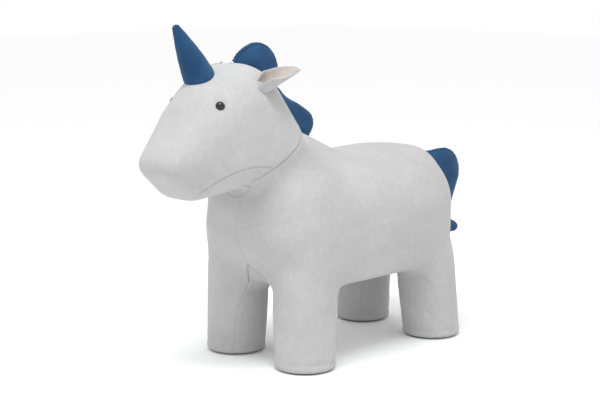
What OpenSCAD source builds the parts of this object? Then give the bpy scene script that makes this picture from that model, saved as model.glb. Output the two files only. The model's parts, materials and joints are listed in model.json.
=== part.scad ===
// Upholstered unicorn seat for a child's room: a timber and plywood frame, glued foam blocks,
// a sewn cloth cover, and a stuffed horn, ears, mane and tail that flex where they are sewn on.
// The animal faces -Y and its left side is +X. Millimetres.

/* [Trunk] */
// Width over the trunk
body_w = 320; // [290:1:384]
// Length over the four feet, front to back
stance_l = 496; // [425:1:600]
// Height of the saddle above the floor
seat_h = 401; // [380:1:481]
// Height of the belly above the floor
belly_h = 152; // [126:1:170]
// Radius of the rounded corners of the rump and shoulders
trunk_r = 113; // [100:1:125]
// Radius of the rounded bottom edges of the trunk
trunk_low_r = 46; // [38:1:55]
// Radius of the chest
chest_r = 103; // [90:1:112]

/* [Legs] */
// Diameter of a leg at the floor
foot_d = 120; // [100:1:136]
// Diameter of a leg where it joins the trunk
thigh_d = 126; // [110:1:140]
// Rounding of the foot's lower edge
foot_edge = 7; // [5:1:10]
// How far the thighs of the front legs lean in towards the middle
front_lean = 6; // [0:1:10]
// How far the thighs of the rear legs lean in towards the middle
rear_lean = 14; // [6:1:18]

/* [Head] */
// Width over the skull
head_w = 204; // [204:1:245]
// Radius of the skull
skull_r = 96; // [88:1:102]
// Distance from the front feet forward to the middle of the skull
head_reach = 97; // [85:1:115]
// Height of the middle of the skull above the saddle
head_rise = 95; // [85:1:110]
// Distance from the middle of the skull forward to the muzzle's tip
muzzle_l = 165; // [140:1:195]
// Drop from the middle of the skull to the muzzle's tip
muzzle_drop = 83; // [72:1:95]
// Radius of the muzzle's tip
muzzle_r = 28; // [23:1:33]
// Radius of the neck
neck_r = 104; // [92:1:110]

/* [Horn] */
// Length of the horn
horn_l = 112; // [93:1:134]
// Diameter of the horn at its base
horn_d = 64; // [53:1:76]
// Diameter of the horn's rounded tip
horn_tip_d = 10; // [8:1:14]
// Lean of the horn forward from upright, in degrees
horn_lean = 30; // [24:1:40]

/* [Ears] */
// Length of an ear
ear_l = 62; // [52:1:75]
// Width across the opening of an ear
ear_w = 40; // [34:1:48]

/* [Eyes] */
// Diameter of a domed eye
eye_d = 18; // [15:1:22]
// Diameter of the shank behind a domed eye
eye_shank_d = 4; // [3:0.5:5]
// Diameter of the washer that locks the shank
eye_washer_d = 16; // [13:1:20]

/* [Mane and tail] */
// Thickness of the stuffed mane
mane_t = 26; // [20:1:32]
// Radius of the mane's front lobe
mane_front_r = 59; // [50:1:66]
// Radius of the mane's rear lobe
mane_rear_r = 28; // [24:1:34]
// Thickness of the stuffed tail
tail_t = 28; // [22:1:34]
// Radius of the tail's upper lobe
tail_r = 59; // [50:1:66]

/* [Frame and cover] */
// Thickness of the cloth cover
cloth_t = 1.8; // [1.2:0.1:2.5]
// Thickness of the plywood seat deck and neck board
ply_t = 15; // [12:1:18]
// Thickness of the belly panel
belly_panel_t = 6; // [4:1:8]
// Width of the square leg posts
post_w = 40; // [33:1:48]
// Thickness of the rails
rail_t = 20; // [16:1:24]
// Depth of the rails
rail_h = 70; // [58:1:80]
// Thickness of the foam over the seat deck
seat_foam_t = 90; // [80:1:108]
// Thickness of the foam under the belly panel
belly_foam_t = 46; // [40:1:56]
// Height of the glides under the feet
glide_h = 3; // [2:0.5:4]
// Diameter of the glides
glide_d = 70; // [58:1:84]
// Diameter of the wood screws
screw_d = 5; // [4:0.5:6]

/* [Hidden] */

// Facets round the large soft forms, and round the small ones
soft_fn = 28;
lobe_fn = 16;
$fn = 48;
// Gap between a cover and what fills it, and between a screw and its hole
fit_gap = 0.3;
screw_gap = 0.05;
// Room under the mane and the tail, so that they can flop
flop_gap = 5.5;
// Larger than anything here, for cutting
huge = 1200;

cloth_off = cloth_t + fit_gap;
leg_x = (body_w - foot_d) / 2;
leg_y = (stance_l - foot_d) / 2;
skull_x = head_w / 2 - skull_r;
head_y = -leg_y - head_reach;
head_z = seat_h + head_rise;
crown_r = (seat_h - belly_h) / 2;

// Middle of the tail's upper lobe, and the tail's and the muzzle's ends, which place the origin
tail_y = leg_y + 149;
tail_z = seat_h - 81;
rear_reach = tail_y + tail_r;
front_reach = -head_y + muzzle_l + muzzle_r;

// The frame, from the floor up
post_z = glide_h + cloth_t;
deck_z = seat_h - cloth_off - seat_foam_t - ply_t;
belly_panel_z = belly_h + belly_foam_t;
frame_x = leg_x + post_w / 2 - 3;
frame_y = leg_y + post_w / 2 - 3;
post_x = frame_x - post_w / 2;
post_y = frame_y - post_w / 2;

// The neck's seam slopes down to the front
neck_seam_y = head_y + 95;
neck_seam_z = head_z - 75;
neck_slope = 23.6;

// ---- Soft forms ----

// A form is the hull of balls [x, y, z, r], each on both sides of the middle plane, so a copy
// at an even depth below its surface only needs smaller balls.
module pair_hull(balls, inset)
    hull()
        for (ball = balls, side = [-1, 1])
            translate([side * ball[0], ball[1], ball[2]])
                sphere(r = ball[3] - inset, $fn = soft_fn);

trunk_balls = [
    // Corners of the rump and of the shoulders
    [body_w / 2 - trunk_r, leg_y - 52, seat_h - trunk_r - 2, trunk_r],
    [body_w / 2 - trunk_r, -leg_y + 50, seat_h - trunk_r - 20, trunk_r],
    // Crown of the rump and of the saddle
    [25, leg_y - 3, seat_h - 77, 75],
    [0, leg_y - 50, seat_h - crown_r, crown_r],
    [0, -leg_y + 60, seat_h - crown_r - 5, crown_r],
    // Chest
    [body_w / 2 - chest_r - 2, -leg_y + 18, seat_h - chest_r - 28, chest_r],
    // Lower edges above the rear and the front legs
    [body_w / 2 - trunk_low_r - 8, leg_y - 20, belly_h + trunk_low_r, trunk_low_r],
    [body_w / 2 - trunk_low_r - 4, -leg_y - 1, belly_h + trunk_low_r, trunk_low_r]
];
neck_balls = [
    [0, head_y + 265, seat_h - neck_r - 8, neck_r],
    [0, head_y + 125, head_z - 143, neck_r],
    [45, -leg_y + 15, seat_h - 83, neck_r]
];
skull = [skull_x, head_y, head_z];
bridge = [30, head_y - 78, head_z - 30];
bridge_r = 61;
forehead = [0, head_y - 50, head_z + 22];
forehead_r = 54;
head_balls = [
    [skull.x, skull.y, skull.z, skull_r],
    [bridge.x, bridge.y, bridge.z, bridge_r],
    // Forehead, where the horn stands
    [forehead.x, forehead.y, forehead.z, forehead_r],
    // Nape and jaw
    [50, head_y + 60, head_z - 61, 62],
    [45, head_y - 45, head_z - 87, 50],
    // Muzzle and chin
    [32, head_y - muzzle_l, head_z - muzzle_drop, muzzle_r],
    [24, head_y - muzzle_l + 44, head_z - muzzle_drop - 28, 40]
];

module leg(x, y, inset = 0) {
    lean = y > 0 ? rear_lean : front_lean;
    hull() {
        translate([x, y, glide_h + inset])
            cylinder(d = foot_d - 2 * foot_edge - 2 * inset, h = 1, $fn = soft_fn);
        translate([x, y, glide_h + foot_edge])
            cylinder(d = foot_d - 2 * inset, h = 1, $fn = soft_fn);
        translate([x - sign(x) * lean, y - sign(y) * lean, belly_h + 40])
            cylinder(d = thigh_d - 2 * inset, h = 10, $fn = soft_fn);
    }
}

module at_legs() for (x = [-leg_x, leg_x], y = [-leg_y, leg_y]) translate([x, y, 0]) children();

// The whole stuffed body, at an even depth below the outside of its cover
module form(inset = 0) {
    pair_hull(trunk_balls, inset);
    pair_hull(neck_balls, inset);
    pair_hull(head_balls, inset);
    for (x = [-leg_x, leg_x], y = [-leg_y, leg_y]) leg(x, y, inset);
}

module head_form(inset = 0) {
    pair_hull(neck_balls, inset);
    pair_hull(head_balls, inset);
}

// Keeps a rounded soft piece as one mesh
module soft() resize([0, 0, 0]) children();

// The middle of the stance stands half the difference between the two ends off the origin
module placed() translate([0, (front_reach - rear_reach) / 2, 0]) children();

module block(low, high)
    translate(low) cube(high - low);

module mirror_if(right) mirror([right ? 1 : 0, 0, 0]) children();

// All that lies above the neck's seam
module above_neck()
    translate([-huge / 2, neck_seam_y, neck_seam_z])
        rotate([neck_slope, 0, 0])
            translate([0, -huge / 2, 0]) cube(huge);

// ---- Frame ----

module at_posts() for (x = [-post_x, post_x], y = [-post_y, post_y]) translate([x, y, 0]) children();

module screw(length, d = screw_d)
    rotate_extrude()
        polygon([[0, 0], [d, 0], [d / 2, -d / 2], [d / 2, 3 - length], [0, -length]]);

module screw_hole(length, d = screw_d)
    screw(length, d + 2 * screw_gap);

module deck_screw_places()
    for (x = [-post_x, post_x], y = [-post_y, post_y], step = [-9, 9])
        translate([x + step, y, deck_z + ply_t]) children();

module seat_deck()
    color("burlywood") placed()
        difference() {
            translate([0, 0, deck_z])
                linear_extrude(ply_t)
                    hull()
                        for (x = [-1, 1], y = [-1, 1])
                            translate([x * (frame_x - 30), y * (frame_y - 30)]) circle(30);
            deck_screw_places() screw_hole(50);
        }

module post(x, y)
    color("burlywood") placed()
        difference() {
            translate([x - post_w / 2, y - post_w / 2, post_z])
                cube([post_w, post_w, deck_z - post_z]);
            deck_screw_places() screw_hole(50);
            translate([x, y, 0]) glide_hole();
        }

module side_rail(right)
    color("burlywood") placed() mirror_if(right)
        block([frame_x - rail_t, -post_y + post_w / 2, deck_z - rail_h],
              [frame_x, post_y - post_w / 2, deck_z]);

module end_rail(y)
    color("burlywood") placed()
        block([-post_x + post_w / 2, y - rail_t / 2, deck_z - rail_h],
              [post_x - post_w / 2, y + rail_t / 2, deck_z]);

end_rail_y = frame_y - rail_t / 2;
block_w = 28;

module corner_blocks()
    color("tan") placed()
        for (x = [0, 1], y = [0, 1])
            mirror([x, 0, 0]) mirror([0, y, 0])
                translate([frame_x - rail_t, post_y - post_w / 2, deck_z - rail_h + 10])
                    linear_extrude(rail_h - 20)
                        polygon([[0, 0], [-block_w, 0], [0, -block_w]]);

module belly_panel()
    color("tan") placed()
        difference() {
            translate([0, 0, belly_panel_z])
                block([-frame_x, -frame_y, 0], [frame_x, frame_y, belly_panel_t]);
            at_posts()
                translate([0, 0, belly_panel_z])
                    cube([post_w + 2 * fit_gap, post_w + 2 * fit_gap, 3 * belly_panel_t], center = true);
        }

// Side outline of the board that holds up the neck and head, as [y, z]
deck_top = deck_z + ply_t;
neck_outline = [
    [-leg_y + 148, deck_top], [-leg_y - 2, deck_top], [head_y + 55, deck_top + 40],
    [head_y + 22, head_z - 102], [head_y - 120, head_z - 98], [head_y - 125, head_z - 60],
    [head_y - 50, head_z + 30], [head_y + 20, head_z + 40], [head_y + 60, head_z - 10],
    [head_y + 100, head_z - 80], [-leg_y + 110, deck_top + 55]
];
brace_y = -leg_y + 20;

module brace_screw_places()
    for (side = [-1, 1], step = [18, 62])
        translate([side * ply_t / 2, 0, 0])
            translate([side * 22, brace_y + step, deck_top + 22])
                rotate([0, side * 90, 0]) children();

module neck_board()
    color("burlywood") placed()
        difference() {
            rotate([90, 0, 90])
                linear_extrude(ply_t, center = true) polygon(neck_outline);
            brace_screw_places() screw_hole(28);
        }

module neck_brace(right)
    color("tan") placed()
        difference() {
            mirror_if(right)
                block([ply_t / 2, brace_y, deck_top], [ply_t / 2 + 22, brace_y + 80, deck_top + 44]);
            brace_screw_places() screw_hole(28);
        }

module deck_screws()
    color("silver") placed() deck_screw_places() screw(50);

module brace_screws()
    color("silver") placed() brace_screw_places() screw(28);

// ---- Foam ----

module frame_room()
    block([-frame_x, -frame_y, belly_panel_z], [frame_x, frame_y, deck_top]);

module foam_between(low, high)
    color("khaki") placed()
        soft() intersection() {
            difference() {
                form(cloth_off);
                above_neck();
                frame_room();
            }
            block(low, high);
        }

module seat_foam()
    color("khaki") placed()
        soft() difference() {
            intersection() {
                form(cloth_off);
                block([-huge, -huge, deck_top], [huge, huge, huge]);
            }
            above_neck();
            neck_room();
        }

// Where the neck board and its braces stand in the foam
module neck_room() {
    rotate([90, 0, 90])
        linear_extrude(ply_t, center = true) polygon(neck_outline);
    block([-ply_t / 2 - 22 - screw_d, brace_y, deck_top - 1],
          [ply_t / 2 + 22 + screw_d, brace_y + 80, deck_top + 44]);
}

module side_foam(right)
    mirror_if(right)
        foam_between([frame_x, -frame_y, belly_panel_z], [huge, frame_y, deck_top]);

module chest_foam()
    foam_between([-huge, -huge, belly_panel_z], [huge, -frame_y, deck_top]);

module rump_foam()
    foam_between([-huge, frame_y, belly_panel_z], [huge, huge, deck_top]);

// The foam below the belly panel parts here into the belly's block and the four legs'
leg_room = thigh_d / 2 + rear_lean + 5;
module leg_rooms()
    for (x = [0, 1], y = [0, 1])
        mirror([x, 0, 0]) mirror([0, y, 0])
            block([leg_x - leg_room, leg_y - leg_room, 0], [huge, huge, huge]);

module belly_foam()
    color("khaki") placed()
        soft() difference() {
            intersection() {
                pair_hull(trunk_balls, cloth_off);
                block([-huge, -huge, 0], [huge, huge, belly_panel_z]);
            }
            leg_rooms();
        }

module leg_foam(right, rear)
    color("khaki") placed()
        soft() difference() {
            intersection() {
                form(cloth_off);
                mirror_if(right) mirror([0, rear ? 0 : 1, 0])
                    block([leg_x - leg_room, leg_y - leg_room, 0], [huge, huge, belly_panel_z]);
            }
            at_posts() translate([-post_w / 2, -post_w / 2, 0]) cube([post_w, post_w, huge]);
        }

module head_foam(right)
    color("khaki") placed()
        soft() difference() {
            intersection() {
                head_form(cloth_off);
                above_neck();
                mirror_if(right) block([0, -huge, 0], [huge, huge, huge]);
            }
            neck_room();
            both_eyes() eye_room();
        }

// ---- Cover ----

module shell()
    difference() {
        form(0);
        form(cloth_t);
    }

// The panel under the belly, which runs down the inside of the legs, as [x, z]
gusset_x = leg_x - 38;
module gusset_zone()
    rotate([90, 0, 0])
        linear_extrude(huge, center = true)
            polygon([[-gusset_x, 0], [gusset_x, 0], [gusset_x, belly_h], [0, belly_h + 52],
                [-gusset_x, belly_h]]);

// The panel under the jaw, as [y, z]
module jaw_zone()
    rotate([90, 0, 90])
        linear_extrude(huge, center = true)
            polygon([[head_y + 22, head_z - 200], [head_y + 22, head_z - 99],
                [head_y - 15, head_z - 89], [head_y - 60, head_z - 89],
                [head_y - 92, head_z - 104], [head_y - 104, head_z - 130],
                [head_y - 98, head_z - 200]]);

module sole_rooms()
    at_legs() cylinder(d = foot_d - 2 * foot_edge, h = post_z);

module head_cover()
    color("whitesmoke") placed()
        soft() difference() {
            intersection() {
                shell();
                above_neck();
            }
            jaw_zone();
            both_eyes() eye_hole();
        }

module jaw_gusset()
    color("whitesmoke") placed()
        soft() intersection() {
            shell();
            above_neck();
            jaw_zone();
        }

module body_cover(right)
    color("whitesmoke") placed()
        soft() difference() {
            intersection() {
                shell();
                mirror_if(right) block([0, -huge, 0], [huge, huge, huge]);
            }
            above_neck();
            gusset_zone();
            sole_rooms();
        }

module belly_gusset()
    color("whitesmoke") placed()
        soft() difference() {
            intersection() {
                shell();
                gusset_zone();
            }
            sole_rooms();
        }

module sole(x, y)
    color("gainsboro") placed()
        translate([x, y, glide_h])
            difference() {
                cylinder(d = foot_d - 2 * foot_edge - 2 * fit_gap, h = cloth_t);
                translate([x > 0 ? post_x - leg_x : leg_x - post_x,
                    y > 0 ? post_y - leg_y : leg_y - post_y, -1])
                    cylinder(d = screw_d + 2 * screw_gap, h = 2 * cloth_t);
            }

module glide(x, y)
    color("dimgray") placed()
        translate([x, y, 0])
            difference() {
                cylinder(d = glide_d, h = glide_h);
                glide_hole();
            }

// A glide's screw points up, with its head sunk in the glide
glide_screw_d = 4;
module glide_hole()
    translate([0, 0, 0.6]) mirror([0, 0, 1]) screw_hole(30, glide_screw_d);

module glide_screws()
    color("silver") placed()
        at_posts() translate([0, 0, 0.6]) mirror([0, 0, 1]) screw(30, glide_screw_d);

// ---- Horn ----

// The horn stands square on the forehead, and the room under it lets it rock
horn_gap = 2.8;
horn_base = forehead + (forehead_r + horn_gap) * [0, -sin(horn_lean), cos(horn_lean)];

// The horn's radius at a share t of its length, slightly bulged
function horn_r(t, inset) = horn_d / 2 - inset - (horn_d - horn_tip_d) / 2 * (0.85 * t + 0.15 * t * t);
module horn_solid(inset = 0)
    rotate_extrude()
        polygon(concat([[0, 0]],
            [for (t = [0, 0.2, 0.4, 0.6, 0.8, 0.95]) [horn_r(t, inset), t * horn_l]],
            [[0, horn_l - inset]]));

module horn_at() placed() translate(horn_base) rotate([horn_lean, 0, 0]) children();

module horn_cover()
    color("steelblue")
        horn_at() difference() {
            horn_solid();
            translate([0, 0, -0.01]) horn_solid(cloth_t);
        }

module horn_filling()
    color("ivory") horn_at() horn_solid(cloth_off);

// ---- Ears ----

// The ear's root ball turns in place as the ear flops
ear_root_r = 8;
ear_seat = [0.826, 0.125, 0.55];
ear_base = skull + (skull_r + ear_root_r + fit_gap) * ear_seat;
ear_up = [0.32, 0.763, 0.562];
ear_front = [0.1, -0.616, 0.782];
ear_side = cross(ear_up, ear_front);

module ear_at(right)
    placed() mirror_if(right)
        multmatrix([for (i = [0:2]) [ear_side[i], -ear_front[i], ear_up[i], ear_base[i]]])
            children();

module ear_leaf()
    hull() {
        sphere(ear_root_r, $fn = lobe_fn);
        translate([0, 3, ear_l * 0.42]) scale([1, 0.42, 1]) sphere(d = ear_w, $fn = lobe_fn + 8);
        translate([0, 4, ear_l - 4]) sphere(4, $fn = lobe_fn);
    }

module ear_cup(inset = 0)
    translate([0, -9, ear_l * 0.43]) scale([1, 0.8, 1.5])
        sphere(d = ear_w - 9 - 2 * inset, $fn = lobe_fn + 8);

module ear(right)
    color("whitesmoke")
        ear_at(right) soft() difference() {
            ear_leaf();
            ear_cup();
        }

module ear_lining(right)
    color("linen")
        ear_at(right) soft() difference() {
            intersection() {
                ear_leaf();
                ear_cup(fit_gap);
            }
            ear_cup(fit_gap + cloth_t);
        }

// ---- Mane and tail ----

// A flat stuffed lobe is the hull of lens-shaped pads [y, z, r] in the middle plane
module pads(list, thickness, inset)
    hull()
        for (pad = list) {
            half = min(thickness / 2, 0.9 * pad[2]);
            translate([0, pad[0], pad[1]])
                scale([(half - inset) / (pad[2] - inset), 1, 1])
                    sphere(r = pad[2] - inset, $fn = lobe_fn);
        }

mane_mid = [head_y + 63, head_z + 74];
mane_split = [head_y + 87, head_z + 39];
mane_tip = [head_y + 189, head_z - 34];

module mane_front_pads(inset)
    pads([[mane_mid.x, mane_mid.y, mane_front_r], [head_y + 12, head_z + 86, 14]], mane_t, inset);

module mane_rear_pads(inset)
    pads([[mane_split.x + 13, mane_split.y - 30, 41], [mane_tip.x, mane_tip.y, mane_rear_r]],
        mane_t, inset);

module mane_front(inset = 0)
    difference() {
        mane_front_pads(inset);
        head_form(-flop_gap);
        mane_rear_side(-1);
    }

module mane_rear(inset = 0)
    difference() {
        mane_rear_pads(inset);
        head_form(-flop_gap);
        pair_hull(trunk_balls, -flop_gap);
        mane_rear_side(1);
    }

// The two lobes part along a line that leans back, with room between them
module mane_rear_side(side)
    translate([0, mane_split.x, mane_split.y])
        rotate([21, 0, 0])
            translate([-50, -100, side > 0 ? -1.5 : -198.5]) cube([100, 300, 200]);

module mane_front_cover()
    color("steelblue") placed()
        soft() difference() {
            mane_front();
            mane_front_pads(cloth_t);
        }

module mane_front_filling()
    color("ivory") placed() soft() mane_front(cloth_off);

module mane_rear_cover()
    color("steelblue") placed()
        soft() difference() {
            mane_rear();
            mane_rear_pads(cloth_t);
        }

module mane_rear_filling()
    color("ivory") placed() soft() mane_rear(cloth_off);

tail_step = 1.5;
module tail_pads(inset) {
    root = [tail_y - 75, tail_z + 10, tail_r - 15];
    lobe = [tail_y, tail_z, tail_r];
    waist = [tail_y - 15, tail_z - 84, 38];
    low = [tail_y - 7, tail_z - 115, 26];
    tip = [tail_y + 44, tail_z - 129, 11];
    low_root = [tail_y - 87, tail_z - 95, 30];
    // Each stretch is a little thinner than the one above it
    pads([root, lobe], tail_t, inset);
    pads([lobe, waist, root], tail_t - tail_step, inset);
    pads([waist, low, low_root, root], tail_t - 2 * tail_step, inset);
    pads([low, tip], tail_t - 3 * tail_step, inset);
}

module tail_solid(inset = 0)
    difference() {
        tail_pads(inset);
        pair_hull(trunk_balls, -flop_gap);
    }

module tail_cover()
    color("steelblue") placed()
        soft() difference() {
            tail_solid();
            tail_pads(cloth_t);
        }

module tail_filling()
    color("ivory") placed() soft() tail_solid(cloth_off);

// ---- Eyes ----

// An eye sits on the straight run of the surface from the skull's ball to the bridge's ball.
// All normals there make the same angle with the line between the two balls, and eye_turn
// picks one of them, from the top of the face round to its side.
eye_turn = 54;
eye_along = 0.65;
eye_run = bridge - skull;
eye_run_u = eye_run / norm(eye_run);
eye_cos = (skull_r - bridge_r) / norm(eye_run);
eye_side_u = cross(cross(eye_run_u, [1, 0, 0]), eye_run_u);
eye_side = eye_side_u / norm(eye_side_u);
eye_top = cross(eye_run_u, eye_side);
eye_normal = eye_cos * eye_run_u
    + sqrt(1 - eye_cos * eye_cos) * (cos(eye_turn) * eye_side + sin(eye_turn) * eye_top);
eye_place = skull + eye_along * eye_run
    + (skull_r + eye_along * (bridge_r - skull_r)) * eye_normal;

module both_eyes()
    for (side = [0, 1])
        mirror([side, 0, 0])
            translate(eye_place)
                rotate([0, acos(eye_normal.z), atan2(eye_normal.y, eye_normal.x)]) children();

eye_rise = 0.45 * eye_d;
eye_back = 14;
washer_t = 3;

module eye_hole() translate([0, 0, -20]) cylinder(d = eye_shank_d + 2 * fit_gap, h = 40);

module eye_room() {
    eye_hole();
    translate([0, 0, -cloth_off - 4 * fit_gap - washer_t - eye_back])
        cylinder(d = eye_washer_d + 2 * fit_gap, h = washer_t + eye_back + fit_gap);
}

module eye(right)
    color("black") placed() mirror_if(right)
        translate(eye_place)
            rotate([0, acos(eye_normal.z), atan2(eye_normal.y, eye_normal.x)])
                union() {
                    intersection() {
                        translate([0, 0, eye_rise - eye_d / 2 + fit_gap]) sphere(d = eye_d);
                        translate([0, 0, fit_gap]) cylinder(d = 2 * eye_d, h = eye_d);
                    }
                    translate([0, 0, -eye_back]) cylinder(d = eye_shank_d, h = eye_back + 2 * fit_gap);
                }

module eye_washers()
    color("dimgray") placed()
        both_eyes()
            translate([0, 0, -cloth_off - 3 * fit_gap - washer_t])
                difference() {
                    cylinder(d = eye_washer_d, h = washer_t);
                    translate([0, 0, -1]) cylinder(d = eye_shank_d + 2 * screw_gap, h = washer_t + 2);
                }

seat_deck();
side_rail(false);  // side_rail_left
side_rail(true);  // side_rail_right
end_rail(-end_rail_y);  // front_rail
end_rail(end_rail_y);  // rear_rail
post(post_x, -post_y);  // leg_post_front_left
post(-post_x, -post_y);  // leg_post_front_right
post(post_x, post_y);  // leg_post_rear_left
post(-post_x, post_y);  // leg_post_rear_right
corner_blocks();
belly_panel();
neck_board();
neck_brace(false);  // neck_brace_left
neck_brace(true);  // neck_brace_right
deck_screws();
brace_screws();
seat_foam();
side_foam(false);  // side_foam_left
side_foam(true);  // side_foam_right
chest_foam();
rump_foam();
belly_foam();
leg_foam(false, false);  // leg_foam_front_left
leg_foam(true, false);  // leg_foam_front_right
leg_foam(false, true);  // leg_foam_rear_left
leg_foam(true, true);  // leg_foam_rear_right
head_foam(false);  // head_foam_left
head_foam(true);  // head_foam_right
head_cover();
jaw_gusset();
body_cover(false);  // body_cover_left
body_cover(true);  // body_cover_right
belly_gusset();
sole(leg_x, -leg_y);  // sole_front_left
sole(-leg_x, -leg_y);  // sole_front_right
sole(leg_x, leg_y);  // sole_rear_left
sole(-leg_x, leg_y);  // sole_rear_right
glide(post_x, -post_y);  // glide_front_left
glide(-post_x, -post_y);  // glide_front_right
glide(post_x, post_y);  // glide_rear_left
glide(-post_x, post_y);  // glide_rear_right
glide_screws();
horn_cover();
horn_filling();
ear(false);  // ear_left
ear(true);  // ear_right
ear_lining(false);  // ear_lining_left
ear_lining(true);  // ear_lining_right
mane_front_cover();
mane_front_filling();
mane_rear_cover();
mane_rear_filling();
tail_cover();
tail_filling();
eye(false);  // eye_left
eye(true);  // eye_right
eye_washers();
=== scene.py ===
# %% [markdown]
# # An upholstered unicorn seat
# A child's seat shaped like a unicorn: a timber frame, foam, and a taut cover of short-pile velour,
# with a stuffed horn, mane, tail and ears. The frame of this scene holds every part at its true size
# and place, so this lesson only makes the looks: it turns plain solids into sewn, stuffed cloth.
# Everything is in metres, the animal faces -Y, and its left side is +X.

# %% Load the frame
import json
import math

import bmesh
import bpy
import numpy as np
from mathutils import Matrix, Vector, kdtree
from mathutils.bvhtree import BVHTree

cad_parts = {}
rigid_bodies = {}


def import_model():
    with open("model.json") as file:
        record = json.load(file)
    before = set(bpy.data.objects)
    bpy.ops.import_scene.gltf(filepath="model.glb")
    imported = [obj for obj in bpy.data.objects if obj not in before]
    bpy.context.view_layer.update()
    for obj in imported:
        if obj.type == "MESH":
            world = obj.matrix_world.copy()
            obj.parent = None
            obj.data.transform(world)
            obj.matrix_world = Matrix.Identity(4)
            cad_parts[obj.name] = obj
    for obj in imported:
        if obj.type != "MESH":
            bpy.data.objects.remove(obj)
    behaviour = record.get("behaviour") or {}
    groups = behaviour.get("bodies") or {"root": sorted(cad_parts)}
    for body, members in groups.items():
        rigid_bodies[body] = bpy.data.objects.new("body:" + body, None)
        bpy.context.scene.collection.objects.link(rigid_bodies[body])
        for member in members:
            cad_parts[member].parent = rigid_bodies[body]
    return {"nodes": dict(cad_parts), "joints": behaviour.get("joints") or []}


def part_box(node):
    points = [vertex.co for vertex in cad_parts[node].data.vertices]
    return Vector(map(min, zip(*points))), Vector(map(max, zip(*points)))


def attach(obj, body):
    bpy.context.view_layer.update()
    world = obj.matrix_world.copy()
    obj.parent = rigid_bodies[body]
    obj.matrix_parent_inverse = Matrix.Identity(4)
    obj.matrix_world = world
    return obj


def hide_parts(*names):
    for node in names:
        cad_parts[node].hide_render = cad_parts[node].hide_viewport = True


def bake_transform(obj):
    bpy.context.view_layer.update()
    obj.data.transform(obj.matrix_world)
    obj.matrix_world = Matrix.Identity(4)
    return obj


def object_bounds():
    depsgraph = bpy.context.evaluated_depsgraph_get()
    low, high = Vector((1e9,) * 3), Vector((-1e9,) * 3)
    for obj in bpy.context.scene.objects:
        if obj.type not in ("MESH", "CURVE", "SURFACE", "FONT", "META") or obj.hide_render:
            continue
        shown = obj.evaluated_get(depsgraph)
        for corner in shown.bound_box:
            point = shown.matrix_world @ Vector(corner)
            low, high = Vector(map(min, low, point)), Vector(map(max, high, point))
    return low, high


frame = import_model()
cad_low, cad_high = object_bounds()
MM = 0.001

# %% [markdown]
# ## Small tools
# Blender's operators act on whatever is selected, and the frame arrives selected all over. So every
# step starts by selecting one piece and nothing else. A modifier is added and applied in one call,
# because each piece ends as a plain mesh.

# %% Selecting and applying
def select_only(piece, *others):
    bpy.ops.object.select_all(action="DESELECT")
    for each in (piece, *others):
        each.select_set(True)
    bpy.context.view_layer.objects.active = piece


def apply_modifier(piece, kind, **settings):
    modifier = piece.modifiers.new(kind.title(), kind)
    for name, value in settings.items():
        setattr(modifier, name, value)
    select_only(piece)
    bpy.ops.object.modifier_apply(modifier=modifier.name)
    return piece


# %% [markdown]
# Edit mode works on selected faces or edges. Here they are picked in code by where they lie, with the
# places of all points or faces in one array, which is much faster than a loop.

# %% Reading and writing points
def points(piece):
    found = np.zeros(len(piece.data.vertices) * 3)
    piece.data.vertices.foreach_get("co", found)
    return found.reshape(-1, 3)


def set_points(piece, places):
    piece.data.vertices.foreach_set("co", places.ravel())
    piece.data.update()


def point_normals(piece):
    found = np.zeros(len(piece.data.vertices) * 3, np.float32)
    piece.data.vertex_normals.foreach_get("vector", found)
    return found.reshape(-1, 3).astype(float)


def face_centres(piece):
    found = np.zeros(len(piece.data.polygons) * 3)
    piece.data.polygons.foreach_get("center", found)
    return found.reshape(-1, 3)


# %% Entering edit mode with chosen faces
def edit_faces(piece, chosen):
    """Opens edit mode on the faces marked in an array of true and false."""
    select_only(piece)
    bpy.context.tool_settings.mesh_select_mode = (False, False, True)
    mesh = piece.data
    mesh.vertices.foreach_set("select", np.zeros(len(mesh.vertices), bool))
    mesh.edges.foreach_set("select", np.zeros(len(mesh.edges), bool))
    mesh.polygons.foreach_set("select", np.asarray(chosen, bool))
    bpy.ops.object.mode_set(mode="EDIT")


def edit_edges(piece, choose):
    """Opens edit mode on the edges for which choose(edge) is true."""
    select_only(piece)
    bpy.context.tool_settings.mesh_select_mode = (False, True, False)
    bpy.ops.object.mode_set(mode="EDIT")
    bpy.ops.mesh.select_all(action="DESELECT")
    mesh = bmesh.from_edit_mesh(piece.data)
    for edge in mesh.edges:
        if choose(edge):
            edge.select_set(True)
    bmesh.update_edit_mesh(piece.data)


def leave_edit():
    bpy.ops.object.mode_set(mode="OBJECT")


# %% [markdown]
# ## Camera, floor and light
# A product picture of a pale object needs an even light. One narrow soft box hangs overhead, a
# white room fills the shadows, and a white floor throws light back up under the belly. The camera
# stands far back with a long lens, a little above the head, and sees the animal at three quarters.

# %% Camera
AZIMUTH = math.radians(45.63)
ELEVATION = math.radians(9.40)
DISTANCE = 2.7793
TARGET = Vector((0, -0.0628, 0.3084))

look_back = Vector((math.sin(AZIMUTH) * math.cos(ELEVATION),
                    -math.cos(AZIMUTH) * math.cos(ELEVATION), math.sin(ELEVATION)))
bpy.ops.object.camera_add(location=TARGET + DISTANCE * look_back,
                          rotation=look_back.to_track_quat("Z", "Y").to_euler())
camera = bpy.context.object
camera.name = "camera"
camera.data.lens = 83.44
camera.data.clip_end = 40
bpy.context.scene.camera = camera
print("camera at", [round(c, 3) for c in camera.location])

# %% Floor
bpy.ops.mesh.primitive_plane_add(size=24, location=(0, 0, 0))
floor = bpy.context.object
floor.name = "floor"
floor_paint = bpy.data.materials.new("floor_paint")
floor_paint.use_nodes = True
paint = floor_paint.node_tree.nodes["Principled BSDF"]
paint.inputs["Base Color"].default_value = (0.97, 0.97, 0.97, 1)
paint.inputs["Roughness"].default_value = 0.9
floor.data.materials.append(floor_paint)

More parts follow.
